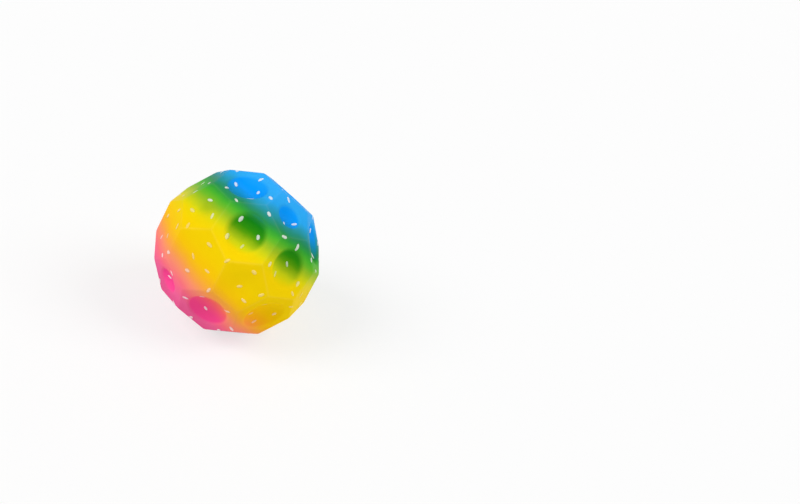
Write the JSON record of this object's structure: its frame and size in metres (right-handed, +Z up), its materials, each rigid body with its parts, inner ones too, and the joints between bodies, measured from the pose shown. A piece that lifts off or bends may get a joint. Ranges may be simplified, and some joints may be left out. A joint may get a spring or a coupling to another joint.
{
  "type": "bouncy ball",
  "caption": "High-bounce foam ball made of flat faces with round dished craters, rainbow sprayed colour bands and white flecks, standing on a plain face.",
  "frame": {"origin": "middle of the plain six-sided face that the ball stands on", "axes": "+Z up through the ball's centre to the crater in the top face; -Y towards the side the picture shows"},
  "size_m": [0.0688, 0.0684, 0.0642],
  "materials": {
    "foam": "matt cellular foam",
    "skin": "matt dense skin",
    "blue": "satin",
    "green": "satin",
    "yellow": "satin",
    "orange": "satin",
    "pink": "satin",
    "white": "satin"
  },
  "bodies": {
    "root": {"foam_core": "foam", "dense_skin": "skin", "blue_coat": "blue", "green_coat": "green", "yellow_coat": "yellow", "orange_coat": "orange", "pink_coat": "pink", "white_flecks": "white"}
  },
  "joints": []
}
